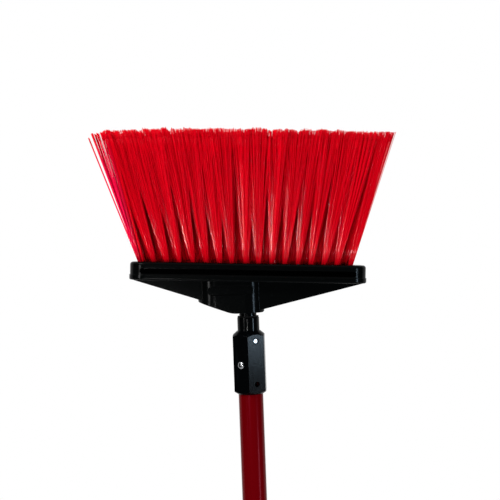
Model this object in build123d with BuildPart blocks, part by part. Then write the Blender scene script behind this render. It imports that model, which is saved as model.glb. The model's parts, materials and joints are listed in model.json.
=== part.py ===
from build123d import *
import os
from math import cos, radians, sin, sqrt, tan

os.makedirs("parts", exist_ok=True)

# Upright broom with a threaded handle, bristles up. All sizes are in millimetres and degrees.
# The Z axis is the handle's axis and the front of the broom faces -Y.
# The origin is the point of the handle that a wall clip holds.

# Handle tube
tube_diameter = 25.4
tube_wall = 0.9
tube_neck_diameter = 24.2
tube_length = 1151.5
tube_insert = 44.0
clip_below_ferrule = 251.5

# End cap with its hang hole
cap_length = 38.0
cap_dome = 7.0
cap_spigot_length = 30.0
cap_rib_height = 0.25
cap_rib_count = 3
cap_rib_pitch = 7.0
cap_rib_width = 2.3
cap_first_rib = 3.5
hang_hole_diameter = 8.0
hang_hole_above_end = 17.0

# Hexagonal ferrule
hex_flats = 32.0
hex_turn = 26.2
ferrule_length = 64.5
ferrule_mouth_diameter = 27.4
ferrule_mouth_bevel = 3.2
ferrule_top_diameter = 24.4
ferrule_top_bevel = 5.4
low_hole_diameter = 5.2
low_hole_below_top = 53.8

# Cross pin that holds the threaded tip in the ferrule
pin_diameter = 4.6
pin_recess = 0.7
pin_counterbore_diameter = 6.0
pin_counterbore_depth = 1.6
pin_below_top = 9.9

# Blind rivets that hold the tube in the ferrule
rivet_head_diameter = 7.2
rivet_head_height = 1.5
rivet_head_edge = 0.4
rivet_shank_diameter = 4.8
rivet_bulb_diameter = 6.4
rivet_bulb_length = 3.4
rivet_bore_diameter = 2.6
rivet_below_top = 34.0
mandrel_head_diameter = 3.8
mandrel_head_length = 1.6
mandrel_break_depth = 1.0

# Threaded tip
neck_diameter = 22.6
neck_length = 14.2
shank_diameter = 15.8
shank_length = 19.0
thread_lead = 5.08
thread_major_diameter = 18.6
thread_core_diameter = 14.4
thread_root_width = 1.6
thread_crest_width = 0.9
thread_sunk = 0.5
thread_end_chamfer = 1.2
neck_edge = 1.0
collar_diameter = 17.6

# Washer on the neck's shoulder
washer_thickness = 1.0
washer_diameter = 21.6

# Broom block
mouth_above_neck = 4.8
socket_depth = 31.4
angled_socket_depth = 28.0
block_tilt = 3.07
angled_socket_turn = 20.2
angled_mouth_left = 34.2
angled_mouth_up = 6.7
boss_left = 50.7
boss_right = 17.0
boss_depth = 38.0
boss_foot_corner = 3.0
boss_foot_bend = 26.0
boss_profile_relief = 0.5
boss_into_rim = 6.0
panel_length = 47.0
panel_height = 9.2
panel_depth = 1.8
panel_left = 16.2
panel_up = 23.6
rim_length = 240.6
rim_depth = 52.0
rim_left = 0.7
rim_height = 18.4
rim_bottom = 32.0
rim_corner = 17.0
rim_edge = 3.0
lip_height = 5.4
lip_overhang = 0.7
lip_edge = 1.8
groove_length = 217.0
groove_height = 5.7
groove_depth = 1.8
web_depth = 26.0
web_apex = -1.0
web_apex_left = 2.5
web_foot = 3.0
web_setback = 2.4
socket_mouth_chamfer = 1.0

# Tufts, in rows from front to back
tuft_pitch = 13.25
tuft_shift = -3.2
long_row_count = 17
row_names = [
    "front_bristle_row",
    "front_middle_bristle_row",
    "back_middle_bristle_row",
    "back_bristle_row",
]
row_pitch = 11.0
hole_diameter = 6.6
hole_depth = 11.0
strands_around = 6
strand_root_width = 1.3
strand_tip_width = 2.8
strand_root_ring = 1.9
strand_tip_ring = 6.0
bed_thickness = 3.0
bed_width = 8.4
bed_margin = 5.0
bristle_length = 134.6
tip_half_span = 144.6
tip_row_pitch = 18.6
trim_slope = 3.0
trim_crown = 4.7
staple_thickness = 0.6
staple_height = 2.4
staple_bite = 0.9

# Clearances
seat_clearance = 0.05
pin_clearance = 0.05
thread_flank_clearance = 0.35
thread_radial_clearance = 0.35
end_clearance = 0.4
washer_clearance = 0.4
strand_end_clearance = 0.2
bulb_clearance = 0.1

# Heights that follow from those sizes
ferrule_bottom = clip_below_ferrule
ferrule_top = ferrule_bottom + ferrule_length
neck_top = ferrule_top + neck_length
mouth_height = neck_top + mouth_above_neck
tube_top = ferrule_bottom + tube_insert
tube_bottom = tube_top - tube_length
tube_bore_top = tube_top + end_clearance
tube_radius = tube_diameter / 2
tube_inner_radius = tube_radius - tube_wall
tube_neck_radius = tube_neck_diameter / 2
tube_neck_inner_radius = tube_neck_radius - tube_wall
cap_bottom = tube_bottom - cap_length
pin_hole_radius = pin_diameter / 2 + pin_clearance
rivet_hole_radius = rivet_shank_diameter / 2 + pin_clearance
thread_start = -thread_lead
thread_top = socket_depth - end_clearance
rim_top = rim_bottom + rim_height
hex_sides = 6
hex_step = 360 / hex_sides
opposite = hex_sides // 2

# Planes of the block: head lies across it at the mouth of the straight socket, front faces the viewer
tilt = radians(block_tilt)
mouth = Vector(0, 0, mouth_height)
head = Plane(origin=mouth, x_dir=(cos(tilt), 0, -sin(tilt)), z_dir=(sin(tilt), 0, cos(tilt)))
head_axis = Axis(mouth, head.z_dir)
rim_foot = Plane(
    origin=head.from_local_coords((-rim_left, 0, rim_bottom)),
    x_dir=head.x_dir,
    z_dir=head.z_dir,
)
front = Plane(origin=mouth, x_dir=head.x_dir, z_dir=(0, -1, 0))
boss_front = Plane(origin=mouth, x_dir=(1, 0, 0), z_dir=(0, -1, 0))
straight_socket = Plane(origin=mouth, x_dir=(1, 0, 0), z_dir=(0, 0, 1))
turn = radians(angled_socket_turn)
angled_mouth = mouth + Vector(-angled_mouth_left, 0, angled_mouth_up)
angled_socket = Plane(
    origin=angled_mouth,
    x_dir=(cos(turn), 0, -sin(turn)),
    z_dir=(sin(turn), 0, cos(turn)),
)


# A plane on a flat of the ferrule, looking outwards, at a distance below the ferrule's top
def flat_seat(flat, below_top):
    angle = radians(hex_turn + hex_step * (flat + 1 / 2))
    outward = Vector(cos(angle), sin(angle), 0)
    origin = outward * (hex_flats / 2) + Vector(0, 0, ferrule_top - below_top)
    return Plane(origin=origin, x_dir=(0, 0, 1), z_dir=outward)


# The front flats are number 3, to the viewer's left, and number 4, to the viewer's right
left_flat = 3
right_flat = 4
pin_seat = flat_seat(right_flat, pin_below_top)
low_hole_seat = flat_seat(right_flat, low_hole_below_top)
rivet_seats = [flat_seat(left_flat, rivet_below_top), flat_seat(left_flat + opposite, rivet_below_top)]
ends_up = (Align.CENTER, Align.CENTER, Align.MIN)
ends_down = (Align.CENTER, Align.CENTER, Align.MAX)


# A helical ridge about the Z axis: its foot is sunk into a core and its flanks narrow towards the crest
def thread_ridge(spread, radial, start, length):
    depth = (thread_major_diameter - thread_core_diameter) / 2
    slope = (thread_root_width - thread_crest_width) / 2 / depth
    foot_radius = thread_core_diameter / 2 - thread_sunk
    crest_radius = thread_major_diameter / 2 + radial
    foot_half = thread_root_width / 2 + spread + slope * thread_sunk
    crest_half = thread_crest_width / 2 + spread - slope * radial
    height = crest_radius - foot_radius
    with BuildPart() as ridge:
        with BuildLine() as path:
            Helix(pitch=thread_lead, height=length, radius=foot_radius, center=(0, 0, start))
        with BuildSketch(Plane(origin=path.line @ 0, x_dir=(1, 0, 0), z_dir=path.line % 0)):
            Polygon(
                (0, -foot_half),
                (height, -crest_half),
                (height, crest_half),
                (0, foot_half),
                align=None,
            )
        sweep(path=path.line, is_frenet=True)
    return ridge.part


# Handle tube, swaged down where it enters the ferrule
with BuildPart() as handle_tube:
    with BuildSketch(Plane.XZ):
        with BuildLine():
            Polyline(
                (tube_inner_radius, tube_bottom),
                (tube_radius, tube_bottom),
                (tube_radius, ferrule_bottom),
                (tube_neck_radius, ferrule_bottom),
                (tube_neck_radius, tube_top),
                (tube_neck_inner_radius, tube_top),
                (tube_neck_inner_radius, ferrule_bottom - tube_wall),
                (tube_inner_radius, ferrule_bottom - tube_wall),
                close=True,
            )
        make_face()
    revolve(axis=Axis.Z)
    with Locations(*rivet_seats):
        Cylinder(rivet_hole_radius, hex_flats / 2, align=ends_down, mode=Mode.SUBTRACT)
    with Locations(low_hole_seat):
        Cylinder(low_hole_diameter / 2, hex_flats / 2, align=ends_down, mode=Mode.SUBTRACT)
handle_tube.part.label = "handle_tube"
export_step(handle_tube.part, "parts/handle_tube.step")

# End cap: a ribbed spigot in the tube and a domed end, as wide as the tube, with a hole to hang it by
with BuildPart() as end_cap:
    with BuildSketch(Plane.XZ):
        with BuildLine():
            Line((0, cap_bottom), (0, tube_bottom))
            Line((0, tube_bottom), (tube_radius, tube_bottom))
            Line((tube_radius, tube_bottom), (tube_radius, cap_bottom + cap_dome))
            EllipticalCenterArc((0, cap_bottom + cap_dome), tube_radius, cap_dome, 270, arc_size=90)
        make_face()
    revolve(axis=Axis.Z)
    spigot_radius = tube_inner_radius - seat_clearance - cap_rib_height
    with BuildSketch(Plane.XY.offset(tube_bottom)):
        Circle(spigot_radius)
    extrude(amount=cap_spigot_length)
    for rib in range(cap_rib_count):
        with BuildSketch(Plane.XY.offset(tube_bottom + cap_first_rib + cap_rib_pitch * rib)):
            Circle(spigot_radius + cap_rib_height)
        extrude(amount=cap_rib_width)
    with Locations(Plane.XZ):
        with Locations((0, cap_bottom + hang_hole_above_end)):
            Cylinder(hang_hole_diameter / 2, 2 * tube_diameter, mode=Mode.SUBTRACT)
end_cap.part.label = "end_cap"
export_step(end_cap.part, "parts/end_cap.step")

# Hexagonal ferrule, turned to a cone at both ends and bored for the tube and the tip's shank
with BuildPart() as hex_ferrule:
    with BuildSketch(Plane.XY.offset(ferrule_bottom)):
        RegularPolygon(hex_flats / 2, hex_sides, major_radius=False, rotation=hex_turn)
    extrude(amount=ferrule_length)
    corner_radius = hex_flats / sqrt(3)
    with BuildSketch(Plane.XZ):
        with BuildLine():
            Polyline(
                (0, ferrule_bottom),
                (ferrule_mouth_diameter / 2, ferrule_bottom),
                (corner_radius, ferrule_bottom + ferrule_mouth_bevel),
                (corner_radius, ferrule_top - ferrule_top_bevel),
                (ferrule_top_diameter / 2, ferrule_top),
                (0, ferrule_top),
                close=True,
            )
        make_face()
    revolve(axis=Axis.Z, mode=Mode.INTERSECT)
    with Locations((0, 0, ferrule_bottom)):
        Cylinder(
            tube_neck_radius + seat_clearance,
            tube_bore_top - ferrule_bottom,
            align=ends_up,
            mode=Mode.SUBTRACT,
        )
    with Locations((0, 0, tube_bore_top)):
        Cylinder(shank_diameter / 2 + seat_clearance, ferrule_length, align=ends_up, mode=Mode.SUBTRACT)
    with Locations(pin_seat):
        Cylinder(pin_hole_radius, hex_flats, align=ends_down, mode=Mode.SUBTRACT)
        Cylinder(pin_counterbore_diameter / 2, pin_counterbore_depth, align=ends_down, mode=Mode.SUBTRACT)
    with Locations(flat_seat(right_flat + opposite, pin_below_top)):
        Cylinder(pin_counterbore_diameter / 2, pin_counterbore_depth, align=ends_down, mode=Mode.SUBTRACT)
    with Locations(*rivet_seats):
        Cylinder(rivet_hole_radius, hex_flats / 2, align=ends_down, mode=Mode.SUBTRACT)
    with Locations(low_hole_seat):
        Cylinder(low_hole_diameter / 2, hex_flats / 2, align=ends_down, mode=Mode.SUBTRACT)
hex_ferrule.part.label = "hex_ferrule"
export_step(hex_ferrule.part, "parts/hex_ferrule.step")

# Threaded tip: shank in the ferrule, round neck, a collar up to the block's mouth, threaded core
with BuildPart() as threaded_tip:
    with BuildSketch(Plane.XY.offset(ferrule_top - shank_length)):
        Circle(shank_diameter / 2)
    extrude(amount=shank_length)
    with BuildSketch(Plane.XY.offset(ferrule_top)):
        Circle(neck_diameter / 2)
    extrude(amount=neck_length)
    fillet(threaded_tip.edges().group_by(Axis.Z)[-1], neck_edge)
    with BuildSketch(Plane.XY.offset(neck_top)):
        Circle(collar_diameter / 2)
    extrude(amount=mouth_above_neck - end_clearance)
    with BuildSketch(Plane.XY.offset(neck_top)):
        Circle(thread_core_diameter / 2)
    extrude(amount=mouth_above_neck + thread_top)
    chamfer(threaded_tip.edges().group_by(Axis.Z)[-1], thread_end_chamfer)
    ridge_length = thread_top - thread_end_chamfer - thread_root_width - thread_start
    with Locations(straight_socket):
        add(thread_ridge(0, 0, thread_start, ridge_length))
    with Locations(pin_seat):
        Cylinder(pin_hole_radius, hex_flats, align=ends_down, mode=Mode.SUBTRACT)
threaded_tip.part.label = "threaded_tip"
export_step(threaded_tip.part, "parts/threaded_tip.step")

# Cross pin, a plain dowel that stands a little below both flats
with BuildPart() as tip_pin:
    with Locations(pin_seat.offset(-pin_recess)):
        Cylinder(pin_diameter / 2, hex_flats - 2 * pin_recess, align=ends_down)
    chamfer(tip_pin.edges().filter_by(GeomType.CIRCLE), pin_recess / 2)
tip_pin.part.label = "tip_pin"
export_step(tip_pin.part, "parts/tip_pin.step")

# One blind rivet with its head on the plane Z = 0: domed head, hollow shank and the bulb inside the tube
bulb_reach = sqrt(tube_neck_inner_radius**2 - (rivet_bulb_diameter / 2) ** 2) - bulb_clearance
bulb_top = bulb_reach - hex_flats / 2
bulb_end = bulb_top - rivet_bulb_length
with BuildPart() as one_rivet:
    with BuildSketch(Plane.XZ):
        with BuildLine():
            bore = rivet_bore_diameter / 2
            shank = rivet_shank_diameter / 2
            bulb = rivet_bulb_diameter / 2
            rim = rivet_head_diameter / 2
            Polyline(
                (bore, rivet_head_height),
                (bore, bulb_end),
                (bulb, bulb_end),
                (bulb, bulb_top),
                (shank, bulb_top),
                (shank, 0),
                (rim, 0),
                (rim, rivet_head_edge),
            )
            TangentArc((bore, rivet_head_height), (rim, rivet_head_edge), tangent=(1, 0))
        make_face()
    revolve(axis=Axis.Z)
with BuildPart() as rivet_bodies:
    with Locations(*rivet_seats):
        add(one_rivet.part)
rivet_bodies.part.label = "rivet_bodies"
export_step(rivet_bodies.part, "parts/rivet_bodies.step")

# The stem that stays in each rivet, broken off a little below the top of the head
with BuildPart() as one_mandrel:
    with Locations((0, 0, rivet_head_height - mandrel_break_depth)):
        Cylinder(
            rivet_bore_diameter / 2 - seat_clearance,
            rivet_head_height - mandrel_break_depth - bulb_end,
            align=ends_down,
        )
    with Locations((0, 0, bulb_end)):
        Cylinder(mandrel_head_diameter / 2, mandrel_head_length, align=ends_down)
with BuildPart() as rivet_mandrels:
    with Locations(*rivet_seats):
        add(one_mandrel.part)
rivet_mandrels.part.label = "rivet_mandrels"
export_step(rivet_mandrels.part, "parts/rivet_mandrels.step")

# Flat washer that lies on the shoulder of the neck and turns with the head
with BuildPart() as thread_washer:
    with BuildSketch(Plane.XY.offset(neck_top)):
        Circle(washer_diameter / 2)
        Circle(thread_major_diameter / 2 + washer_clearance, mode=Mode.SUBTRACT)
    extrude(amount=washer_thickness)
thread_washer.part.label = "thread_washer"
export_step(thread_washer.part, "parts/thread_washer.step")


# The shape of a threaded socket, along +Z from its mouth at the origin
def socket_tool(depth):
    minor = thread_core_diameter / 2 + thread_radial_clearance
    major = thread_major_diameter / 2 + thread_radial_clearance
    groove = depth - end_clearance - thread_root_width - thread_start
    # The countersink runs past the mouth, so that none of its edges lies in the face that it opens
    cone_radius = major + 2 * socket_mouth_chamfer
    with BuildPart() as tool:
        Cylinder(minor, depth, align=ends_up)
        with Locations((0, 0, -socket_mouth_chamfer)):
            Cone(cone_radius, minor, cone_radius - minor, align=ends_up)
        add(
            thread_ridge(
                thread_flank_clearance,
                thread_radial_clearance,
                thread_start,
                groove,
            )
        )
    return tool.part


# Where a tuft stands: its root on the block's face, its tip, its way, its hole's floor and its staple
class Tuft:
    def __init__(self, along, across):
        self.root = head.from_local_coords((along, across, rim_top))
        reach = (along - tuft_shift) / (tuft_pitch * (long_row_count - 1) / 2)
        tip_x = tip_half_span * reach
        tip_y = across * tip_row_pitch / row_pitch
        tip_z = mouth_height + rim_top + bristle_length
        tip_z -= tan(radians(trim_slope)) * tip_x + trim_crown * reach**2
        self.tip = Vector(tip_x, tip_y, tip_z)
        self.way = (self.tip - self.root).normalized()
        self.floor = Plane(origin=self.root - self.way * hole_depth, x_dir=(0, 1, 0), z_dir=self.way)
        self.staple = self.floor.offset(staple_height / 2)


row_count = len(row_names)
rows = []
for row in range(row_count):
    count = long_row_count - row % 2
    across = row_pitch * (row - (row_count - 1) / 2)
    first = -tuft_pitch * (count - 1) / 2 + tuft_shift
    rows.append([Tuft(first + tuft_pitch * i, across) for i in range(count)])
tufts = [tuft for row in rows for tuft in row]
staple_length = hole_diameter + 2 * staple_bite


# The plane of a row's bed, a slice of the block's face that the row's strands grow from
def bed_plane(row):
    middle = (row[0].root + row[-1].root) / 2
    return Plane(origin=middle, x_dir=head.x_dir, z_dir=head.z_dir)


def bed_length(row):
    return (row[-1].root - row[0].root).length + 2 * bed_margin


# Boss around the two sockets: round at both ends in plan, and flat across each mouth.
# The profile that cuts its foot stands a little outside its sides and top, so that no faces coincide.
with BuildPart() as boss:
    boss_top = rim_bottom + boss_into_rim
    with BuildSketch(straight_socket.offset(-boss_profile_relief)):
        with Locations(((boss_right - boss_left) / 2, 0)):
            SlotOverall(boss_left + boss_right, boss_depth)
    extrude(amount=boss_profile_relief + boss_top)
    with BuildSketch(boss_front):
        with BuildLine():
            profile_left = boss_left + boss_profile_relief
            profile_right = boss_right + boss_profile_relief
            profile_top = boss_top + boss_profile_relief
            mouth_edge = -angled_mouth_left + angled_mouth_up / tan(turn)
            left_foot = angled_mouth_up + (profile_left - angled_mouth_left) * tan(turn)
            FilletPolyline(
                (-profile_left, profile_top),
                (-profile_left, left_foot),
                (mouth_edge, 0),
                (profile_right, 0),
                (profile_right, profile_top),
                radius=(boss_foot_corner, boss_foot_bend, boss_foot_corner),
            )
            Line((profile_right, profile_top), (-profile_left, profile_top))
        make_face()
    extrude(amount=boss_depth, both=True, mode=Mode.INTERSECT)
    with BuildSketch(boss_front.offset(boss_depth / 2)):
        with Locations((-panel_left, panel_up)):
            SlotOverall(panel_length, panel_height)
    extrude(amount=-panel_depth, mode=Mode.SUBTRACT)

# Broom block: rim with a long groove on both sides, triangular web, boss, sockets and tuft holes
with BuildPart() as broom_block:
    with BuildSketch(rim_foot):
        RectangleRounded(rim_length, rim_depth, rim_corner)
    extrude(amount=rim_height)
    fillet(broom_block.edges().group_by(head_axis)[-1], rim_edge)
    with BuildSketch(rim_foot):
        RectangleRounded(
            rim_length + 2 * lip_overhang,
            rim_depth + 2 * lip_overhang,
            rim_corner + lip_overhang,
        )
    extrude(amount=lip_height)
    fillet(broom_block.edges().group_by(head_axis)[0], lip_edge)
    for side in (1, -1):
        with BuildSketch(front.offset(side * rim_depth / 2)):
            with Locations((-rim_left, rim_bottom + rim_height / 2)):
                SlotOverall(groove_length, groove_height)
        extrude(amount=-side * groove_depth, mode=Mode.SUBTRACT)
    with BuildSketch(front):
        # The web's lower edges run towards one point below the boss, and end inside the boss
        half = rim_length / 2 - web_setback
        left_end = -rim_left - half
        right_end = -rim_left + half
        part_way = (web_foot - web_apex) / (rim_bottom - web_apex)
        Polygon(
            (left_end, rim_bottom),
            (-web_apex_left + part_way * (left_end + web_apex_left), web_foot),
            (-web_apex_left + part_way * (right_end + web_apex_left), web_foot),
            (right_end, rim_bottom),
            align=None,
        )
    extrude(amount=web_depth / 2, both=True)
    add(boss.part)
    with Locations(straight_socket):
        add(socket_tool(socket_depth), mode=Mode.SUBTRACT)
    with Locations(angled_socket):
        add(socket_tool(angled_socket_depth), mode=Mode.SUBTRACT)
    for row in rows:
        with BuildSketch(bed_plane(row)):
            SlotOverall(bed_length(row), bed_width)
        extrude(amount=-bed_thickness, mode=Mode.SUBTRACT)
    with Locations(*[tuft.floor for tuft in tufts]):
        Cylinder(hole_diameter / 2, hole_depth, align=ends_up, mode=Mode.SUBTRACT)
    with Locations(*[tuft.staple for tuft in tufts]):
        Box(staple_length, staple_thickness, staple_height, mode=Mode.SUBTRACT)
broom_block.part.label = "broom_block"
export_step(broom_block.part, "parts/broom_block.step")

# Flat staples that hold the tufts down in their holes
with BuildPart() as tuft_staples:
    with Locations(*[tuft.staple for tuft in tufts]):
        Box(staple_length, staple_thickness, staple_height)
tuft_staples.part.label = "tuft_staples"
export_step(tuft_staples.part, "parts/tuft_staples.step")


# One four-sided strand with flat sides that widens evenly from its root to its trimmed tip
def strand(start, end):
    lean = end - start
    foot = Plane(origin=start, x_dir=(1, 0, 0), z_dir=(0, -1, 0))
    low_x = lean.X - strand_tip_width / 2
    low_y = -lean.Y - strand_tip_width / 2
    with BuildPart() as one:
        with Locations(foot.offset(-strand_root_width / 2)):
            with Locations((-strand_root_width / 2, 0)):
                Wedge(
                    strand_root_width,
                    lean.Z,
                    strand_root_width,
                    low_x + strand_root_width / 2,
                    low_y + strand_root_width / 2,
                    low_x + strand_root_width / 2 + strand_tip_width,
                    low_y + strand_root_width / 2 + strand_tip_width,
                    align=None,
                )
    return one.part


# The strands of a tuft: one in the middle and a ring around it, spreading from the staple to the tip
def strands_of(tuft):
    made = []
    for place in range(strands_around + 1):
        angle = radians(360 / strands_around * place)
        ring = Vector(cos(angle), sin(angle), 0) if place else Vector(0, 0, 0)
        end = tuft.tip + ring * strand_tip_ring
        on_face = tuft.root + ring * strand_root_ring
        way = (end - on_face).normalized()
        start = on_face - way * (hole_depth - staple_height - strand_root_width - strand_end_clearance)
        made.append(strand(start, end))
    return made


# Bristle rows from front to back, each fused to its bed
for name, row in zip(row_names, rows):
    strands = [one for tuft in row for one in strands_of(tuft)]
    with BuildPart() as bristle_row:
        with BuildSketch(bed_plane(row)):
            SlotOverall(bed_length(row), bed_width)
        extrude(amount=-bed_thickness)
        add(strands)
    bristle_row.part.label = name
    export_step(bristle_row.part, f"parts/{name}.step")
    print(name, len(row), "tufts", len(strands), "strands")
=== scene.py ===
import json
import bpy
import numpy as np
from mathutils import Matrix, Vector


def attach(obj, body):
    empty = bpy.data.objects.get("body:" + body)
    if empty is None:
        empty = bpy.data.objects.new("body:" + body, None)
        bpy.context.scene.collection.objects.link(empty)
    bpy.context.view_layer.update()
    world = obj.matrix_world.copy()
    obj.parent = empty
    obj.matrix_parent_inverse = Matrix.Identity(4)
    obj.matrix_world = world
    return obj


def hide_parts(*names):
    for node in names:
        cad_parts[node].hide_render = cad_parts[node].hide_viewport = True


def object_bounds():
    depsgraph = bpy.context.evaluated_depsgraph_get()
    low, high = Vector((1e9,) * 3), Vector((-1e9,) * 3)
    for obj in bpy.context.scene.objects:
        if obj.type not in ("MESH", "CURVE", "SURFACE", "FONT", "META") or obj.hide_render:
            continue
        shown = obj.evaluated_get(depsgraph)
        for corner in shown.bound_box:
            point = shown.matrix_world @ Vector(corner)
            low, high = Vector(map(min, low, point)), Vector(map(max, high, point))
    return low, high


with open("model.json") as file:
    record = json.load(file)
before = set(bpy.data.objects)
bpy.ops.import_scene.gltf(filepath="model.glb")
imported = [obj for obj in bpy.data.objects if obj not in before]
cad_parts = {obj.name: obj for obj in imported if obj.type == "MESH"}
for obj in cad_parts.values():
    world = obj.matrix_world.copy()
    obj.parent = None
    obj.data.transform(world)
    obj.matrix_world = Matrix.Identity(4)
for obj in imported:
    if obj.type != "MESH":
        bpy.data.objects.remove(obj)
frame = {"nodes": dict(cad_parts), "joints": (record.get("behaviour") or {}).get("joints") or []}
cadLow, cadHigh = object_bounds()  # the solid model's box, before anything is added
nodes = frame["nodes"]
headTurn = next(joint for joint in frame["joints"] if joint["name"] == "head_turn")
mouthHeight = headTurn["pos_m"][2]  # of the straight socket's mouth, where the head turns
print("frame loaded:", len(nodes), "nodes")


def leaning(degrees):
    # directions to the right and up, turned clockwise as seen from the front
    turn = np.radians(degrees)
    return np.array((np.cos(turn), 0.0, -np.sin(turn))), np.array((np.sin(turn), 0.0, np.cos(turn)))


# Camera: level with the block, straight on, rolled so that the handle leans as in the picture

photoView = {
    "target": (0.0045, 0.0, 0.3989),  # point of the broom's middle plane at the picture's centre
    "distance": 0.90,
    "lens": 62.8,  # mm, as the sensor
    "sensor": 36.0,
    "clip": (0.05, 50.0),
    "roll": 2.1,  # degrees
}


def makeCamera(view):
    data = bpy.data.cameras.new("photoCamera")
    data.lens, data.sensor_width = view["lens"], view["sensor"]
    data.clip_start, data.clip_end = view["clip"]
    right, up = leaning(view["roll"])
    back = Vector((0.0, -1.0, 0.0))
    place = Vector(view["target"]) + back * view["distance"]
    turned = Matrix((right, up, back)).transposed().to_4x4()
    camera = bpy.data.objects.new("photoCamera", data)
    camera.matrix_world = Matrix.Translation(place) @ turned
    bpy.context.scene.collection.objects.link(camera)
    bpy.context.scene.camera = camera


makeCamera(photoView)
print("camera placed")

# Shader helpers: where a helper takes a value, it may be another node's socket or a plain number


def feed(tree, socket, value):
    if hasattr(value, "is_linked"):
        tree.links.new(value, socket)
    else:
        socket.default_value = value


def mathNode(tree, operation, *values):
    node = tree.nodes.new("ShaderNodeMath")
    node.operation = operation
    for socket, value in zip(node.inputs, values):
        feed(tree, socket, value)
    return node.outputs[0]


def vectorNode(tree, operation, first, second):
    node = tree.nodes.new("ShaderNodeVectorMath")
    node.operation = operation
    feed(tree, node.inputs[0], first)
    feed(tree, node.inputs[1], second)
    return node.outputs["Value" if operation == "DOT_PRODUCT" else "Vector"]


def noise(tree, vector, scale, detail):
    node = tree.nodes.new("ShaderNodeTexNoise")
    for label, value in (("Vector", vector), ("Scale", scale), ("Detail", detail)):
        feed(tree, node.inputs[label], value)
    return node.outputs["Fac"]


def remap(tree, source, before=(0.0, 1.0), after=(0.0, 1.0), kind="LINEAR"):
    # carries a value from one range to another, and holds it at the ends
    node = tree.nodes.new("ShaderNodeMapRange")
    node.interpolation_type = kind
    for label, value in zip(("From Min", "From Max", "To Min", "To Max"), (*before, *after)):
        feed(tree, node.inputs[label], value)
    tree.links.new(source, node.inputs["Value"])
    return node.outputs["Result"]


def mix(tree, kind, amount, first, second):
    node = tree.nodes.new("ShaderNodeMix")
    node.data_type = kind
    for label, value in (("Factor", amount), ("A", first), ("B", second)):
        feed(tree, node.inputs[label], value)
    return node.outputs["Result"]


def mixColours(tree, amount, *colours):
    first, second = (c if hasattr(c, "is_linked") else (*c, 1.0) for c in colours)
    return mix(tree, "RGBA", amount, first, second)


def attribute(tree, name):
    node = tree.nodes.new("ShaderNodeAttribute")
    node.attribute_name = name
    return node.outputs["Fac"]


def bump(tree, shader, height, strength, distance, edge=0.0):
    # raises the surface by a height, and rounds sharp edges where a radius is given
    node = tree.nodes.new("ShaderNodeBump")
    if edge:
        rounded = tree.nodes.new("ShaderNodeBevel")
        rounded.inputs["Radius"].default_value = edge
        tree.links.new(rounded.outputs["Normal"], node.inputs["Normal"])
    node.inputs["Strength"].default_value = strength
    node.inputs["Distance"].default_value = distance
    tree.links.new(height, node.inputs["Height"])
    tree.links.new(node.outputs["Normal"], shader.inputs["Normal"])


def startMaterial(name):
    material = bpy.data.materials.new(name)
    material.use_nodes = True
    tree = material.node_tree
    coordinates = tree.nodes.new("ShaderNodeTexCoord")
    return material, tree, tree.nodes["Principled BSDF"], coordinates.outputs["Object"]


def startGroup(name, inputs, outputs):
    group = bpy.data.node_groups.new(name, "ShaderNodeTree")
    for label, kind, value in inputs:
        socket = group.interface.new_socket(label, in_out="INPUT", socket_type=kind)
        if value is not None:
            socket.default_value = value
    for label, kind in outputs:
        group.interface.new_socket(label, in_out="OUTPUT", socket_type=kind)
    return group, group.nodes.new("NodeGroupInput"), group.nodes.new("NodeGroupOutput")


def placeGroup(tree, group, vector, **values):
    node = tree.nodes.new("ShaderNodeGroup")
    node.node_tree = group
    tree.links.new(vector, node.inputs["Vector"])
    for label, value in values.items():
        node.inputs[label].default_value = value
    return node


# Stage: white surroundings and a pale floor, lamps in front of the broom,
# and a black card round them that keeps reflections dark

studio = {
    "groundColour": (1.0, 1.0, 1.0, 1.0),
    "groundSeen": 1.0,  # strength of the surroundings where they show
    "ambient": 0.70,  # light that they give
    "floorHalf": 1.6,
    "floorGap": 0.001,  # under the lowest point
    "floorColour": (0.86, 0.86, 0.86, 1.0),
    "cardRadius": 2.2,
    "cardHeight": (-0.85, 1.9),
    "cardTurn": 100.0,  # degrees to either side of straight ahead
    "cardParts": 24,
    "cardColour": (0.01, 0.01, 0.01, 1.0),
    "rough": 0.9,  # of the floor and the card
    "lamps": [  # turned in degrees from straight ahead, and aimed at a height on the handle's axis
        {"name": "topBox", "turn": -42.0, "far": 1.30, "up": 1.35, "aim": 0.42,
         "size": (0.80, 0.50), "watts": 22.2, "colour": (1.0, 1.0, 1.0)},
        {"name": "rightBox", "turn": 52.0, "far": 1.25, "up": 0.28, "aim": 0.28,
         "size": (0.07, 0.26), "watts": 5.6, "colour": (0.62, 0.82, 1.0)},
        {"name": "rightStrip", "turn": 55.0, "far": 1.25, "up": -0.22, "aim": -0.22,
         "size": (0.24, 0.34), "watts": 8.0, "colour": (0.92, 0.94, 1.0)},
        {"name": "leftStrip", "turn": -43.0, "far": 1.25, "up": 0.00, "aim": 0.00,
         "size": (0.03, 0.12), "watts": 0.35, "colour": (1.0, 1.0, 1.0)},
        {"name": "leftBox", "turn": -46.0, "far": 1.25, "up": 0.35, "aim": 0.35,
         "size": (0.16, 0.20), "watts": 3.8, "colour": (1.0, 1.0, 1.0)},
        {"name": "frontLow", "turn": -20.0, "far": 1.25, "up": 0.07, "aim": 0.07,
         "size": (0.30, 0.09), "watts": 1.9, "colour": (1.0, 1.0, 1.0)},
        {"name": "smallFlash", "turn": -12.0, "far": 1.25, "up": 0.165, "aim": 0.35,
         "size": (0.07, 0.04), "watts": 2.7, "colour": (1.0, 1.0, 1.0)},
    ],
}


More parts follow.
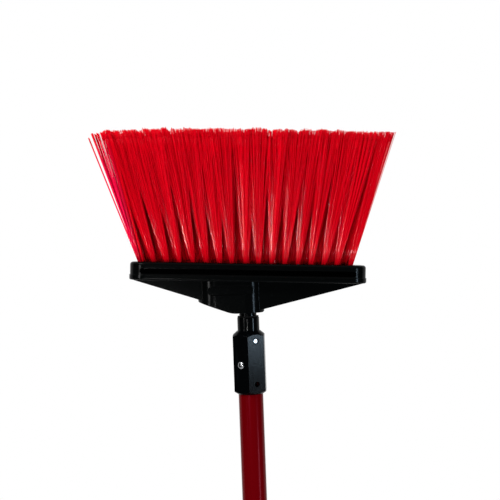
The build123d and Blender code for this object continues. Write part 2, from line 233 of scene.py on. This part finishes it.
def makeWorld(setup):
    # rays that show the surroundings see plain white, and the others take the ambient light
    world = bpy.data.worlds.new("whiteSurroundings")
    world.use_nodes = True
    bpy.context.scene.world = world
    tree = world.node_tree
    tree.nodes.clear()
    out = tree.nodes.new("ShaderNodeOutputWorld")
    path = tree.nodes.new("ShaderNodeLightPath")
    either = tree.nodes.new("ShaderNodeMixShader")
    shown = path.outputs["Is Camera Ray"]
    for kind in ("Is Glossy Ray", "Is Transmission Ray"):
        shown = mathNode(tree, "MAXIMUM", shown, path.outputs[kind])
    tree.links.new(shown, either.inputs[0])
    for socket, strength in ((either.inputs[1], setup["ambient"]), (either.inputs[2], setup["groundSeen"])):
        ground = tree.nodes.new("ShaderNodeBackground")
        ground.inputs["Color"].default_value = setup["groundColour"]
        ground.inputs["Strength"].default_value = strength
        tree.links.new(ground.outputs[0], socket)
    tree.links.new(either.outputs[0], out.inputs["Surface"])


def makeLamp(lamp):
    data = bpy.data.lights.new(lamp["name"], "AREA")
    data.shape = "RECTANGLE"
    data.size, data.size_y = lamp["size"]
    data.energy, data.color = lamp["watts"], lamp["colour"]
    turn = np.radians(lamp["turn"])
    place = Vector((np.sin(turn) * lamp["far"], -np.cos(turn) * lamp["far"], lamp["up"]))
    shining = bpy.data.objects.new(lamp["name"], data)
    shining.location = place
    shining.rotation_euler = (place - Vector((0.0, 0.0, lamp["aim"]))).to_track_quat("Z", "Y").to_euler()
    bpy.context.scene.collection.objects.link(shining)


def stagePiece(name, points, faces, colour, rough):
    mesh = bpy.data.meshes.new(name)
    mesh.from_pydata(points, [], faces)
    material = bpy.data.materials.new(name)
    material.use_nodes = True
    shader = material.node_tree.nodes["Principled BSDF"]
    shader.inputs["Base Color"].default_value = colour
    shader.inputs["Roughness"].default_value = rough
    shader.inputs["Specular IOR Level"].default_value = 0.0
    mesh.materials.append(material)
    piece = bpy.data.objects.new(name, mesh)
    bpy.context.scene.collection.objects.link(piece)
    return piece


def makeFloor(setup):
    half, level = setup["floorHalf"], cadLow.z - setup["floorGap"]
    corners = [(-half, -half, level), (half, -half, level), (half, half, level), (-half, half, level)]
    stagePiece("paleFloor", corners, [(0, 1, 2, 3)], setup["floorColour"], setup["rough"])


def makeCard(setup):
    # part of a cylinder in front of the object, which the camera doesn't see
    radius, parts = setup["cardRadius"], setup["cardParts"]
    turn = np.radians(np.linspace(-setup["cardTurn"], setup["cardTurn"], parts + 1))
    ring = [(radius * np.sin(a), -radius * np.cos(a)) for a in turn]
    points = [(x, y, z) for z in setup["cardHeight"] for x, y in ring]
    faces = [(i, i + 1, i + parts + 2, i + parts + 1) for i in range(parts)]
    card = stagePiece("blackCard", points, faces, setup["cardColour"], setup["rough"])
    card.visible_camera = False


bpy.context.scene.view_settings.view_transform = "Standard"
makeWorld(studio)
makeFloor(studio)
makeCard(studio)
for lamp in studio["lamps"]:
    makeLamp(lamp)
print("stage ready")

# Grain and scuffs, which the finishes share

mouldedGrain = {
    "scale": 900.0,
    "detail": 3.0,
    "slowScale": 34.0,
    "slowDetail": 2.0,
    "fineShare": 0.7,
    "depth": {"plastic": 0.0003, "metal": 0.0002, "filament": 0.0001},  # of a full bump
}

handlingScuffs = {
    "scale": 220.0,
    "detail": 4.0,
    "cut": 0.62,  # noise under this leaves no mark
    "full": 0.85,
}


def makeGrain(setup):
    # moulded grain: fine noise with a slow waviness under it
    group, given, made = startGroup(
        "mouldedGrain",
        [("Vector", "NodeSocketVector", None), ("Scale", "NodeSocketFloat", setup["scale"])],
        [("Height", "NodeSocketFloat"), ("Slow", "NodeSocketFloat")],
    )
    fine = noise(group, given.outputs["Vector"], given.outputs["Scale"], setup["detail"])
    slow = noise(group, given.outputs["Vector"], setup["slowScale"], setup["slowDetail"])
    height = mathNode(group, "MULTIPLY_ADD", fine, setup["fineShare"], slow)
    group.links.new(height, made.inputs["Height"])
    group.links.new(slow, made.inputs["Slow"])
    return group


def makeScuffs(setup):
    # scuffs: noise drawn out along one direction and cut to its peaks
    group, given, made = startGroup(
        "handlingScuffs",
        [("Vector", "NodeSocketVector", None), ("Stretch", "NodeSocketVector", (1.0, 1.0, 1.0)),
         ("Scale", "NodeSocketFloat", setup["scale"]), ("Cut", "NodeSocketFloat", setup["cut"])],
        [("Mask", "NodeSocketFloat")],
    )
    drawn = vectorNode(group, "MULTIPLY", given.outputs["Vector"], given.outputs["Stretch"])
    marks = noise(group, drawn, given.outputs["Scale"], setup["detail"])
    peaks = remap(group, marks, (given.outputs["Cut"], setup["full"]), kind="SMOOTHSTEP")
    group.links.new(peaks, made.inputs["Mask"])
    return group


grain = makeGrain(mouldedGrain)
scuffs = makeScuffs(handlingScuffs)

# Block: where it is, measured from the straight socket's mouth along the tilted block and up it

block = {
    "tilt": 3.07,  # degrees, the block on its socket
    "faceHeight": 0.0504,  # from the mouth to the face that the tufts grow from
}
blockRight, blockUp = leaning(block["tilt"])


def onBlock(along, up):
    # points of the middle plane: so far along the block, and so far up it
    mouth = np.array((0.0, 0.0, mouthHeight))
    return mouth + np.asarray(along)[..., None] * blockRight + np.asarray(up)[..., None] * blockUp


# Groove of the rim: its inside gets painted shade, a near-black colour where shade falls in the recess, and
# is smoother than the face round it

rimGroove = {
    "finish": "blockPlastic",
    "centre": (-0.0007, 0.0412),  # along the block and up it
    "half": (0.1086, 0.0030),  # length and height
    "depth": (0.0256, 0.0246),  # from the middle plane, where the shade begins and where it is full
    # colour of the painted shade inside the groove
    "colour": (0.0001, 0.0001, 0.0001),
    "rough": 0.07,
}


def grooveShadeMask(tree, vector, groove):
    # where the groove's painted shade goes: 1 inside the groove, on both sides of the rim, and 0 elsewhere:
    # the distances from the groove's centre along the block and up it are under its half length and half
    # height, and the point is behind the face
    away = vectorNode(tree, "SUBTRACT", vector, onBlock(*groove["centre"]))

    def distance(direction):
        return mathNode(tree, "ABSOLUTE", vectorNode(tree, "DOT_PRODUCT", away, direction))

    mask = remap(tree, distance((0.0, 1.0, 0.0)), groove["depth"])
    for direction, half in zip((blockRight, blockUp), groove["half"]):
        within = mathNode(tree, "LESS_THAN", distance(direction), half)
        mask = mathNode(tree, "MULTIPLY", mask, within)
    return mask


# Finishes of the solid pieces: colour, worn colour, roughness from and to, gloss, grain, bump, scuffs
# and edges; the enamel also has a tint and an index, which keep the edges of the handle from turning pale

finishes = {
    "blockPlastic": {
        "colour": (0.0010, 0.0012, 0.0012), "worn": (0.003, 0.004, 0.004),
        "rough": (0.13, 0.18), "gloss": 0.032, "grain": 1100.0, "bump": 0.22,
        "stretch": (1.0, 1.0, 3.0), "cut": 0.60, "edge": 0.0010,
    },
    "ferruleSatin": {
        "colour": (0.0006, 0.0008, 0.0010), "worn": (0.003, 0.004, 0.005),
        "rough": (0.14, 0.20), "gloss": 0.036, "grain": 1600.0, "bump": 0.12,
        "stretch": (1.0, 1.0, 0.12), "cut": 0.58, "edge": 0.0006,
    },
    "tipGloss": {
        "colour": (0.0008, 0.0010, 0.0011), "worn": (0.003, 0.004, 0.004),
        "rough": (0.11, 0.15), "gloss": 0.048, "grain": 700.0, "bump": 0.04,
        "stretch": (1.0, 1.0, 5.0), "cut": 0.64, "edge": 0.0003,
    },
    "washerMatt": {
        "colour": (0.0030, 0.0030, 0.0030), "worn": (0.006, 0.006, 0.006),
        "rough": (0.55, 0.70), "gloss": 0.06, "grain": 1500.0, "bump": 0.15,
        "stretch": (1.0, 1.0, 1.0), "cut": 0.62, "edge": 0.0,
    },
    "capSatin": {
        "colour": (0.0016, 0.0016, 0.0016), "worn": (0.005, 0.005, 0.005),
        "rough": (0.40, 0.56), "gloss": 0.07, "grain": 1200.0, "bump": 0.18,
        "stretch": (1.0, 1.0, 1.0), "cut": 0.60, "edge": 0.0003,
    },
    "handleEnamel": {
        "colour": (0.090, 0.0002, 0.0014), "worn": (0.076, 0.0002, 0.0012),
        "rough": (0.14, 0.20), "gloss": 0.9, "grain": 420.0, "bump": 0.03,
        "stretch": (1.0, 1.0, 0.04), "cut": 0.50, "edge": 0.0,
        "tint": (0.75, 0.12, 0.22), "index": 1.09,
    },
}


def makePlastic(name, finish):
    material, tree, shader, vector = startMaterial(name)
    texture = placeGroup(tree, grain, vector, Scale=finish["grain"])
    worn = placeGroup(tree, scuffs, vector, Stretch=finish["stretch"], Cut=finish["cut"])
    colour = mixColours(tree, worn.outputs["Mask"], finish["colour"], finish["worn"])
    rough = remap(tree, texture.outputs["Slow"], after=finish["rough"])
    if name == rimGroove["finish"]:
        # painted shade: the groove's inside is coloured near black where shade falls in it, and made
        # smoother
        mask = grooveShadeMask(tree, vector, rimGroove)
        colour = mixColours(tree, mask, colour, rimGroove["colour"])
        rough = mix(tree, "FLOAT", mask, rough, rimGroove["rough"])
    tree.links.new(colour, shader.inputs["Base Color"])
    tree.links.new(rough, shader.inputs["Roughness"])
    shader.inputs["Specular IOR Level"].default_value = finish["gloss"]
    if "tint" in finish:
        shader.inputs["Specular Tint"].default_value = (*finish["tint"], 1.0)
        shader.inputs["IOR"].default_value = finish["index"]
    depth = mouldedGrain["depth"]["plastic"]
    bump(tree, shader, texture.outputs["Height"], finish["bump"], depth, finish["edge"])
    return material


# Metals: colour, darker colour, roughness from and to, direction of the brushing, bump

metals = {
    "pinSteel": {
        "colour": (0.34, 0.35, 0.36), "dark": (0.28, 0.29, 0.30), "rough": (0.30, 0.38),
        "stretch": (1.0, 1.0, 1.0), "bump": 0.0,
    },
    "rivetBright": {
        "colour": (0.34, 0.35, 0.36), "dark": (0.22, 0.23, 0.24), "rough": (0.18, 0.28),
        "stretch": (1.0, 1.0, 1.0), "bump": 0.02,
    },
    "mandrelSteel": {
        "colour": (0.05, 0.05, 0.05), "dark": (0.02, 0.02, 0.02), "rough": (0.40, 0.60),
        "stretch": (1.0, 1.0, 1.0), "bump": 0.20,
    },
    "stapleSteel": {
        "colour": (0.52, 0.53, 0.54), "dark": (0.34, 0.34, 0.35), "rough": (0.30, 0.48),
        "stretch": (0.2, 1.0, 1.0), "bump": 0.10,
    },
}

metalMarks = {"grain": 1400.0, "scale": 700.0, "cut": 0.50}  # alike on all the metals


def makeMetal(name, finish):
    material, tree, shader, vector = startMaterial(name)
    texture = placeGroup(tree, grain, vector, Scale=metalMarks["grain"])
    marks = placeGroup(
        tree, scuffs, vector, Stretch=finish["stretch"], Scale=metalMarks["scale"], Cut=metalMarks["cut"]
    )
    colour = mixColours(tree, marks.outputs["Mask"], finish["colour"], finish["dark"])
    tree.links.new(colour, shader.inputs["Base Color"])
    rough = remap(tree, marks.outputs["Mask"], after=finish["rough"])
    tree.links.new(rough, shader.inputs["Roughness"])
    shader.inputs["Metallic"].default_value = 1.0
    bump(tree, shader, texture.outputs["Height"], finish["bump"], mouldedGrain["depth"]["metal"])
    return material


surfaceOf = {name: makePlastic(name, finish) for name, finish in finishes.items()}
surfaceOf.update({name: makeMetal(name, finish) for name, finish in metals.items()})

finishOfNode = {
    "handle_tube": "handleEnamel",
    "end_cap": "capSatin",
    "hex_ferrule": "ferruleSatin",
    "threaded_tip": "tipGloss",
    "tip_pin": "pinSteel",
    "rivet_bodies": "rivetBright",
    "rivet_mandrels": "mandrelSteel",
    "thread_washer": "washerMatt",
    "broom_block": "blockPlastic",
    "tuft_staples": "stapleSteel",
}
for node, finish in finishOfNode.items():
    nodes[node].data.materials.clear()
    nodes[node].data.materials.append(surfaceOf[finish])
print("finishes on", len(finishOfNode), "nodes")

# Bristles: four rows of tufts, each a sheaf of flagged filaments that spreads from its hole to the trim

bristles = {
    "rows": [  # a row's node, its distance from the middle plane, and a tuft's radii at its root
        {"piece": "frontBristles", "node": "front_bristle_row",
         "tufts": 17, "across": -0.0165, "rootRadius": (0.0027, 0.0032)},
        {"piece": "frontMiddleBristles", "node": "front_middle_bristle_row",
         "tufts": 16, "across": -0.0055, "rootRadius": (0.0046, 0.0036)},
        {"piece": "backMiddleBristles", "node": "back_middle_bristle_row",
         "tufts": 17, "across": 0.0055, "rootRadius": (0.0046, 0.0036)},
        {"piece": "backBristles", "node": "back_bristle_row",
         "tufts": 16, "across": 0.0165, "rootRadius": (0.0036, 0.0036)},
    ],
    "pitch": 0.01325,
    "shift": -0.0032,
    "halfRow": 0.106,  # from the middle tuft of a long row to its last
    "tipHalfSpan": 0.1446,
    "tipRowSpread": 18.6 / 11.0,  # how much further apart the rows are at the trim
    "length": 0.1346,
    "trimSlope": 3.0,  # degrees
    "trimCrown": 0.0047,
    "bundles": 10,  # in a tuft
    "filaments": 13,  # in a bundle
    "bundleSpread": 0.36,  # a bundle's radius, as a part of its tuft's
    "sunk": 0.0075,  # how far a filament goes down its hole
    "tipRadius": (0.0172, 0.0098),  # of a tuft at the trim, along and across the row
    "firstTip": (-0.1335, 0.0095),  # place and radius at the trim of a first tuft that is whole
    "lastTip": (0.1466, 0.0094),  # and of the long rows' last tufts
    "tuftAside": (0.0002, 0.0014),  # how far a tuft strays along the row, at its root and at its tip
    "bundleAside": 0.0010,
    "filamentAside": 0.0005,
    "endsAside": 0.2,  # the part of that straying that the first and last tufts have
    "thickness": (0.00023, 0.00020),  # radius at the root and below the flag
    "rings": 7,
    "sides": 4,
    "bow": (0.0007, 0.0008, 0.0005),  # of a tuft, a bundle and a filament
    "uneven": (0.0002, 0.0003, 0.00015),  # of the trim, by tuft, bundle and filament
    "ragged": 0.0006,  # of the trim along the rows
    "raggedStep": 0.003,
    "raggedReach": 0.18,  # to either side of the middle, past the last tips
    "rightLift": (0.030, 0.130, 0.0034),  # from where to where the trim rises at its right end, and how far
    "notch": (0.14, 0.0018),  # share of the steps that are notched, and how deep
    "shadeShares": (0.6, 0.4),  # how much of a filament's shade is its bundle's, and how much its own
    # clean, glossy filaments: where in a tuft, from its left edge, -1, to its right edge, 1
    "streaks": (-0.86, -0.35),
    "streakAside": 0.05,
    "streakWidth": (0.14, 0.07),
    "streakGloss": (1.0, 0.6),
    "streakRange": (0.6, 1.0),  # how clean the filaments of a streak are
    "streakFade": (1.7, 2.4),  # its gloss at the root, cut to 1, and how much of it is lost up to the tip
    "footGloss": 0.9,  # of a tuft on the right; those on the left are duller
    "footFrom": (-0.03, 0.01),  # where that gloss begins along the row, and where it is full
    "footFade": (1.4, 8.0),  # as streakFade
    "flag": {  # the split tip of a filament
        "partings": (1.0, -1.0),  # the sides that its fibres lean to
        "length": 0.009,
        "lengthRange": (0.85, 1.0),
        "thickness": (0.00013, 0.00008),
        "spread": 0.0002,
        "spreadRange": (0.4, 1.0),
        "uneven": 0.0002,
        "rings": 3,
        "sides": 3,
    },
    "loose": {  # the first tuft of one row has come apart
        "row": "frontBristles",
        "rootWidth": 0.25,  # of a bundle, as a part of the tuft's radius
        "bundles": [  # place, width and drop at the trim; place at the root in tuft radii; how pale it is, as painted light for the light that comes through it
            (-0.0077, 0.0004, 0.0055, -0.9, 1.0),
            (-0.0038, 0.0011, 0.0022, -0.7, 1.0),
            (-0.0020, 0.0011, 0.0022, -0.5, 1.0),
            (0.0016, 0.0014, 0.0018, -0.3, 1.0),
            (0.0051, 0.0017, 0.0008, -0.9, 1.0),
            (0.0075, 0.0020, 0.0, -0.6, 0.7),
            (0.0090, 0.0020, 0.0, -0.2, 0.4),
            (0.0105, 0.0020, 0.0, 0.2, 0.2),
            (0.0120, 0.0020, 0.0, 0.6, 0.0),
            (0.0135, 0.0020, 0.0, 0.9, 0.0),
        ],
    },
    "seed": 41,
}

goldenAngle = 2.399963  # radians


def unit(vectors):
    return vectors / np.linalg.norm(vectors, axis=-1, keepdims=True)


def steps(count):
    # from 0 to 1, ready to be carried along many paths at once
    return np.linspace(0.0, 1.0, count)[None, :, None]


def tuftPlaces(setup, row):
    # along the block, a pitch apart
    return setup["pitch"] * (np.arange(row["tufts"]) - (row["tufts"] - 1) / 2) + setup["shift"]


def tufts(setup, row):
    # tufts stand on the tilted face, and their tips fan out evenly along the trim
    along = tuftPlaces(setup, row)
    roots = onBlock(along, block["faceHeight"])
    roots[:, 1] += row["across"]
    tips = np.zeros_like(roots)
    tips[:, 0] = setup["tipHalfSpan"] * (along - setup["shift"]) / setup["halfRow"]
    tips[:, 1] = row["across"] * setup["tipRowSpread"]
    tips[:, 2] = trimHeight(setup, tips[:, 0])
    return roots, tips


def trimHeight(setup, x):
    # the trim falls along a straight slope, and by the square of the distance from the middle
    top = mouthHeight + block["faceHeight"] + setup["length"]
    crown = setup["trimCrown"] * (x / setup["tipHalfSpan"]) ** 2
    return top - np.tan(np.radians(setup["trimSlope"])) * x - crown


def raggedTrim(setup, draw):
    # heights at places a step apart along the trim, the same for all rows, with a notch here and there
    places = np.arange(-setup["raggedReach"], setup["raggedReach"], setup["raggedStep"])
    share, depth = setup["notch"]
    heights = draw.normal(0, setup["ragged"], len(places))
    heights -= depth * (draw.uniform(0, 1, len(places)) < share)
    low, high, lift = setup["rightLift"]
    heights += lift * np.clip((places - low) / (high - low), 0.0, 1.0)
    return places, heights


def sunflower(count):
    # points spread evenly over a unit disc: each is a golden angle further round than the one before,
    # at a distance that grows with the square root of its number
    order = np.arange(count)
    return np.sqrt((order + 0.5) / count) * np.exp(1j * (order * goldenAngle))


def bundledDisc(setup, count, draw):
    # bundles fill the tuft's unit disc and filaments their bundle's, each set turned at random
    bundles, inside, width = setup["bundles"], setup["filaments"], setup["bundleSpread"]
    centres = sunflower(bundles) * np.exp(1j * draw.uniform(0, 2 * np.pi, (count, 1)))
    within = sunflower(inside) * np.exp(1j * draw.uniform(0, 2 * np.pi, (count, bundles, 1)))
    disc = (1 - width) * centres[..., None] + width * within
    return within.real, np.stack((disc.real, disc.imag), axis=-1)


def filamentEnds(setup, row, roots, tips, within, disc, trim, draw):
    # filaments keep their places in the tuft's disc from root to tip, which is wider there; then tufts,
    # bundles and filaments stray from these places, and the tips are cut along the ragged trim
    count, bundles = disc.shape[:2]
    shape = disc.shape[:3]
    start = np.broadcast_to(roots[:, None, None], (*shape, 3)).copy()
    start[..., :2] += np.array(row["rootRadius"]) * disc
    reach = np.array(setup["tipRadius"]) * disc
    drop, pale = np.zeros(shape), np.zeros(shape)
    loose = setup["loose"]
    if row["piece"] == loose["row"]:
        # the loose tuft's painted light: how much paler each bundle is coloured
        places, widths, drops, rootPlaces, paintedLightShare = np.array(loose["bundles"]).T[..., None]
        reach[0, ..., 0] = places + widths * within[0]
        inOrder = rootPlaces + loose["rootWidth"] * within[0]
        start[0, ..., 0] = roots[0, 0] + row["rootRadius"][0] * inOrder
        drop[0], pale[0] = drops, paintedLightShare
    else:
        tips[0, 0], radius = setup["firstTip"]
        reach[0, ..., 0] *= radius / setup["tipRadius"][0]
    if count % 2:  # a long row
        tips[-1, 0], radius = setup["lastTip"]
        reach[-1, ..., 0] *= radius / setup["tipRadius"][0]
    stray = np.ones((count, 1, 1))
    stray[[0, -1]] = setup["endsAside"]
    end = tips[:, None, None] + np.concatenate((reach, np.zeros((*shape, 1))), axis=-1)
    start[..., 0] += draw.normal(0, setup["tuftAside"][0], (count, 1, 1))
    end[..., 0] += stray * draw.normal(0, setup["tuftAside"][1], (count, 1, 1))
    end[..., :2] += stray[..., None] * draw.normal(0, setup["bundleAside"], (count, bundles, 1, 2))
    end[..., :2] += stray[..., None] * draw.normal(0, setup["filamentAside"], (*shape, 2))
    byTuft, byBundle, byFilament = setup["uneven"]
    end[..., 2] = trimHeight(setup, end[..., 0]) + np.interp(end[..., 0], *trim)
    end[..., 2] += draw.normal(0, byTuft, (count, 1, 1)) + draw.normal(0, byBundle, (count, bundles, 1))
    end[..., 2] -= drop + np.abs(draw.normal(0, byFilament, shape))
    start -= unit(end - start) * setup["sunk"]
    return start, end, stray, pale


def bowedPaths(setup, start, end, stray, draw):
    # a straight line from root to tip, plus a bow times the height and the sine of half a turn over it,
    # so that it is most above the middle; the bow is partly the tuft's and the bundle's
    count, bundles, inside = start.shape[:3]
    byTuft, byBundle, byFilament = setup["bow"]
    bowed = np.zeros_like(start)
    bowed[..., :2] += draw.normal(0, byTuft, (count, 1, 1, 2))
    bowed[..., :2] += draw.normal(0, byBundle, (count, bundles, 1, 2))
    bowed[..., :2] += draw.normal(0, byFilament, (count, bundles, inside, 2))
    bowed *= stray[..., None]
    start, end, bowed = (values.reshape(-1, 1, 3) for values in (start, end, bowed))
    step = steps(setup["rings"])
    return start * (1 - step) + end * step + bowed * np.sin(np.pi * step) * step


def glossAlong(setup, roots, disc, along, draw):
    # filaments are clean and glossy near the block, and in a few streaks up to half their height; the gloss
    # is a level less a loss times the height, cut to between 0 and 1
    count, bundles, inside = disc.shape[:3]
    total = count * bundles * inside
    streaks = np.array(setup["streaks"])
    streaks = streaks + draw.normal(0, setup["streakAside"], (count, len(streaks)))
    near = np.abs(disc[..., 0, None] - streaks[:, None, None]) < setup["streakWidth"]
    streak = (near * np.array(setup["streakGloss"])).max(axis=-1).ravel()
    streak = streak * draw.uniform(*setup["streakRange"], total)
    begins, full = setup["footFrom"]
    foot = np.clip((roots[:, 0] - begins) / (full - begins), 0.0, 1.0)
    foot = np.repeat(foot, bundles * inside) * draw.uniform(0.0, setup["footGloss"], total)
    parts = []
    for gloss, (level, loss) in ((streak, setup["streakFade"]), (foot, setup["footFade"])):
        parts.append(gloss[:, None, None] * np.clip(level - loss * along, 0.0, 1.0))
    return np.maximum(*parts)


def closedTubes(paths, thickness, sides, twist):
    # a regular polygon carried along each path, square to the path's chord, with both ends capped;
    # its radius changes evenly from the first thickness to the second
    count, rings = paths.shape[:2]
    thick, thin = thickness
    radii = thick + (thin - thick) * steps(rings)
    chord = unit(paths[:, -1] - paths[:, 0])
    first = unit(np.cross(chord, np.array((0.0, 1.0, 0.0))))
    second = np.cross(chord, first)
    angle = twist[:, None] + 2 * np.pi * np.arange(sides) / sides
    ring = np.cos(angle)[..., None] * first[:, None] + np.sin(angle)[..., None] * second[:, None]
    points = paths[:, :, None] + radii[..., None] * ring[:, None]
    index = np.arange(count * rings * sides).reshape(count, rings, sides)
    nextSide = np.roll(index, -1, axis=2)
    walls = np.stack((index[:, :-1], nextSide[:, :-1], nextSide[:, 1:], index[:, 1:]), axis=-1)
    return points.reshape(-1, 3), [walls.reshape(-1, 4), index[:, 0, ::-1], index[:, -1]]


def flagTubes(flag, paths, twist, draw):
    # each filament is split at its tip into finer fibres, straight lines that part as they rise
    total, tip = len(paths), paths[:, -1]
    way = unit(tip - paths[:, -2])
    aside = unit(np.cross(way, draw.normal(0, 1, way.shape)))
    step = steps(flag["rings"])
    tubes = []
    for side in flag["partings"]:
        reach = flag["length"] * draw.uniform(*flag["lengthRange"], (total, 1))
        low = tip - way * reach + aside * side * flag["thickness"][0]
        high = tip + aside * side * flag["spread"] * draw.uniform(*flag["spreadRange"], (total, 1))
        high += way * flag["uneven"] * draw.uniform(0.0, 1.0, (total, 1))
        fibres = low[:, None] * (1 - step) + high[:, None] * step
        tubes.append(closedTubes(fibres, flag["thickness"], flag["sides"], twist))
    return tubes


def joined(shells):
    # one set of points and faces from several, with the faces counted on from the points before them
    points, faces, filled = [], [], 0
    for shellPoints, shellFaces in shells:
        points.append(shellPoints)
        faces += [corners + filled for corners in shellFaces]
        filled += len(shellPoints)
    return np.concatenate(points), faces


def meshFrom(name, points, faces):
    # faces are index arrays, each with its own number of corners
    mesh = bpy.data.meshes.new(name)
    corners = np.concatenate([f.ravel() for f in faces])
    totals = np.concatenate([np.full(len(f), f.shape[1]) for f in faces])
    starts = np.concatenate(([0], np.cumsum(totals)[:-1]))
    mesh.vertices.add(len(points))
    mesh.vertices.foreach_set("co", points.astype(np.float32).ravel())
    mesh.loops.add(len(corners))
    mesh.loops.foreach_set("vertex_index", corners.astype(np.int32))
    mesh.polygons.add(len(totals))
    mesh.polygons.foreach_set("loop_start", starts.astype(np.int32))
    mesh.polygons.foreach_set("loop_total", totals.astype(np.int32))
    mesh.update(calc_edges=True)
    return mesh


def pieceFrom(name, mesh, material, body):
    mesh.materials.append(material)
    piece = bpy.data.objects.new(name, mesh)
    bpy.context.scene.collection.objects.link(piece)
    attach(piece, body)
    return piece


def filamentRow(setup, row, trim, draw):
    roots, tips = tufts(setup, row)
    within, disc = bundledDisc(setup, row["tufts"], draw)
    start, end, stray, pale = filamentEnds(setup, row, roots, tips, within, disc, trim, draw)
    paths = bowedPaths(setup, start, end, stray, draw)
    twist = draw.uniform(0, 2 * np.pi, len(paths))
    bundleShare, ownShare = setup["shadeShares"]
    shade = bundleShare * draw.uniform(0, 1, (*pale.shape[:2], 1))
    shade = (shade + ownShare * draw.uniform(0, 1, pale.shape)).ravel()
    rings, sides, flag = setup["rings"], setup["sides"], setup["flag"]
    along = np.broadcast_to(steps(rings), (len(paths), rings, sides))
    gloss = glossAlong(setup, roots, disc, along, draw)
    stems = closedTubes(paths, setup["thickness"], sides, twist)
    points, faces = joined([stems, *flagTubes(flag, paths, twist, draw)])
    mesh = meshFrom(row["piece"], points, faces)
    smooth = [np.full(len(f), i % 3 == 0) for i, f in enumerate(faces)]  # the caps stay flat
    mesh.polygons.foreach_set("use_smooth", np.concatenate(smooth))
    # values of the stems' points, and then of the flags'; the loose tuft is thin, so painted light makes it
    # paler, by the sine of half a turn over its height
    atFlags = np.zeros(len(points) - along.size)
    flagShades = np.tile(np.repeat(shade, flag["rings"] * flag["sides"]), len(flag["partings"]))
    pointValues = {
        "along": (along, atFlags + 1.0),
        "shade": (np.repeat(shade, rings * sides), flagShades),
        "clean": (gloss, atFlags),
        "pale": (pale.reshape(-1, 1, 1) * np.sin(np.pi * along), atFlags),
    }
    for label, parts in pointValues.items():
        values = np.concatenate([part.ravel() for part in parts]).astype(np.float32)
        mesh.attributes.new(label, "FLOAT", "POINT").data.foreach_set("value", values)
    return mesh


filamentRed = {
    # root a little darker than tip: painted shade where the tufts crowd together near the block
    "root": (0.76, 0.0004, 0.009),
    "tip": (0.80, 0.0005, 0.010),
    "dark": (0.56, 0.0003, 0.007),
    "darkShare": 0.55,  # of that colour in the darkest filament
    # painted light: the paler colour of the thin loose tuft, where light comes through it
    "pale": (0.98, 0.007, 0.085),
    "rough": (0.10, 0.16),
    "gloss": 0.03,  # of a dull filament
    "coatRough": 0.13,  # of the gloss on a clean one
    "coatIndex": 2.9,
    "grain": 2600.0,
    "bump": 0.05,
}


def makeFilamentRed(finish):
    material, tree, shader, vector = startMaterial("filamentRed")
    shade = attribute(tree, "shade")
    # painted shade: darker at the root, lighter towards the tip
    colour = mixColours(tree, attribute(tree, "along"), finish["root"], finish["tip"])
    darker = remap(tree, shade, after=(0.0, finish["darkShare"]))
    colour = mixColours(tree, darker, colour, finish["dark"])
    # painted light on the loose tuft, paler where light comes through it
    colour = mixColours(tree, attribute(tree, "pale"), colour, finish["pale"])
    tree.links.new(colour, shader.inputs["Base Color"])
    tree.links.new(remap(tree, shade, after=finish["rough"]), shader.inputs["Roughness"])
    tree.links.new(attribute(tree, "clean"), shader.inputs["Coat Weight"])
    shader.inputs["Specular IOR Level"].default_value = finish["gloss"]
    shader.inputs["Coat Roughness"].default_value = finish["coatRough"]
    shader.inputs["Coat IOR"].default_value = finish["coatIndex"]
    texture = placeGroup(tree, grain, vector, Scale=finish["grain"])
    bump(tree, shader, texture.outputs["Height"], finish["bump"], mouldedGrain["depth"]["filament"])
    return material


redFilament = makeFilamentRed(filamentRed)
draw = np.random.default_rng(bristles["seed"])
trim = raggedTrim(bristles, draw)
for row in bristles["rows"]:
    mesh = filamentRow(bristles, row, trim, draw)
    piece = pieceFrom(row["piece"], mesh, redFilament, "head")
    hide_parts(row["node"])
    print(row["piece"], len(mesh.polygons), "faces")

# Tuft bed: the strips of the block's face that the rows grow from, dished round each tuft

tuftBed = {
    "width": 0.0084,
    "margin": 0.0050,  # past the last tufts
    "thickness": 0.003,
    "dish": 0.0009,
    "dishRadius": 0.0041,
    "dishPower": 8,
    "step": 0.0007,
    "lowered": 0.0001,
    "endRound": 0.995,  # how much of an end's half circle is drawn, so that it doesn't close to a point
}


def bedStrip(setup, bed, row):
    # the top is level, less a dish round each tuft that falls off with a power of the distance,
    # and the strip narrows to a half circle at both ends
    places = tuftPlaces(setup, row)
    low, high = places[0] - bed["margin"], places[-1] + bed["margin"]
    columns = int((high - low) / bed["step"]) + 1
    lines = int(bed["width"] / bed["step"]) + 1
    u = np.linspace(low, high, columns)
    half = bed["width"] / 2
    past = np.abs(u - (low + high) / 2) - ((high - low) / 2 - half)
    past = np.clip(past, 0.0, bed["endRound"] * half)
    v = np.sqrt(half**2 - past**2)[:, None] * np.linspace(-1.0, 1.0, lines)
    nearest = np.abs(u[:, None] - places[None, :]).min(axis=1)
    away = np.hypot(nearest[:, None], v)
    drop = bed["dish"] * np.exp(-((away / bed["dishRadius"]) ** bed["dishPower"])) + bed["lowered"]
    sheets = []
    for depth in (drop, np.full_like(drop, bed["thickness"])):
        sheet = onBlock(u[:, None], block["faceHeight"] - depth)
        sheet[..., 1] += row["across"] + v
        sheets.append(sheet.reshape(-1, 3))
    top = np.arange(columns * lines).reshape(columns, lines)
    topFaces = np.stack((top[:-1, :-1], top[1:, :-1], top[1:, 1:], top[:-1, 1:]), axis=-1).reshape(-1, 4)
    underFaces = topFaces[:, [0, 3, 2, 1]] + top.size  # the same, turned over
    edge = np.concatenate((top[:, 0], top[-1, 1:], top[-2::-1, -1], top[0, -2:0:-1]))
    ahead = np.roll(edge, -1)
    sides = np.stack((edge, edge + top.size, ahead + top.size, ahead), axis=-1)
    return np.concatenate(sheets), [topFaces, underFaces, sides]


strips = [bedStrip(bristles, tuftBed, row) for row in bristles["rows"]]
bedMesh = meshFrom("tuftBed", *joined(strips))
pieceFrom("tuftBed", bedMesh, surfaceOf["blockPlastic"], "head")
print("tuft bed", len(bedMesh.polygons), "faces")
